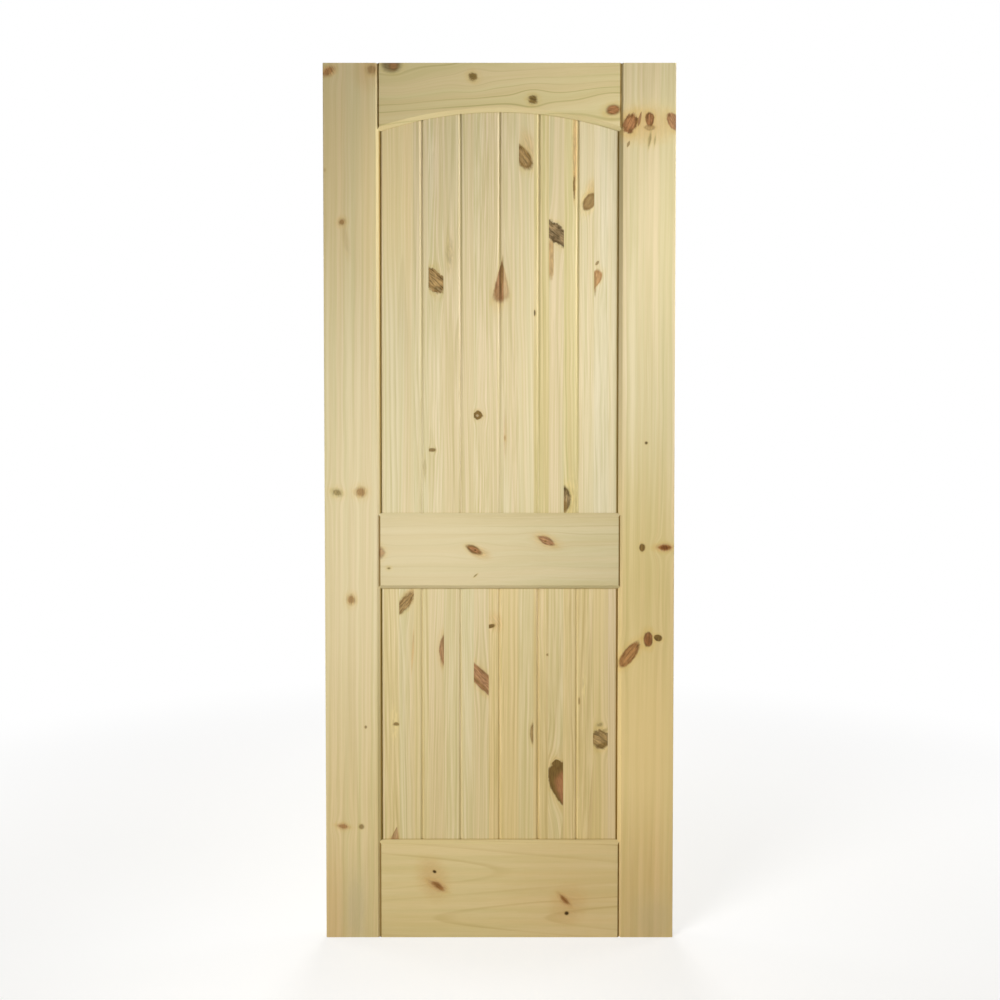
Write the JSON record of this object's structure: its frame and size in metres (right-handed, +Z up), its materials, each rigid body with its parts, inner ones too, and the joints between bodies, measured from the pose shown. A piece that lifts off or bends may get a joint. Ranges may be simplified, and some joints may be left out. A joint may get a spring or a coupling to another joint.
{
  "type": "panel door leaf with an arched top panel",
  "caption": "Rectangular pine door leaf: coped stiles and rails round V-grooved stave panels, the upper one with a shallow arched head; hangs by its hinge edge.",
  "frame": {"origin": "on the hinge edge at mid-thickness, level with the bottom edge of the leaf", "axes": "+X across the leaf from the hinge edge to the lock edge, +Y from the front face to the back face, +Z up along the leaf"},
  "size_m": [0.8128, 0.035, 2.032],
  "materials": {
    "stile_pine": "bare sanded knotty pine",
    "rail_pine": "bare sanded knotty pine",
    "stave_pine": "bare sanded knotty pine"
  },
  "bodies": {
    "root": {"hinge_stile": "stile_pine", "lock_stile": "stile_pine", "top_rail": "rail_pine", "lock_rail": "rail_pine", "bottom_rail": "rail_pine", "upper_stave_01": "stave_pine", "upper_stave_02": "stave_pine", "upper_stave_03": "stave_pine", "upper_stave_04": "stave_pine", "upper_stave_05": "stave_pine", "upper_stave_06": "stave_pine", "upper_stave_07": "stave_pine", "upper_stave_08": "stave_pine", "upper_stave_09": "stave_pine", "upper_stave_10": "stave_pine", "upper_stave_11": "stave_pine", "upper_stave_12": "stave_pine", "upper_stave_13": "stave_pine", "upper_stave_14": "stave_pine", "upper_stave_15": "stave_pine", "upper_stave_16": "stave_pine", "upper_stave_17": "stave_pine", "lower_stave_01": "stave_pine", "lower_stave_02": "stave_pine", "lower_stave_03": "stave_pine", "lower_stave_04": "stave_pine", "lower_stave_05": "stave_pine", "lower_stave_06": "stave_pine", "lower_stave_07": "stave_pine", "lower_stave_08": "stave_pine", "lower_stave_09": "stave_pine", "lower_stave_10": "stave_pine", "lower_stave_11": "stave_pine", "lower_stave_12": "stave_pine", "lower_stave_13": "stave_pine", "lower_stave_14": "stave_pine", "lower_stave_15": "stave_pine", "lower_stave_16": "stave_pine", "lower_stave_17": "stave_pine"}
  },
  "joints": []
}
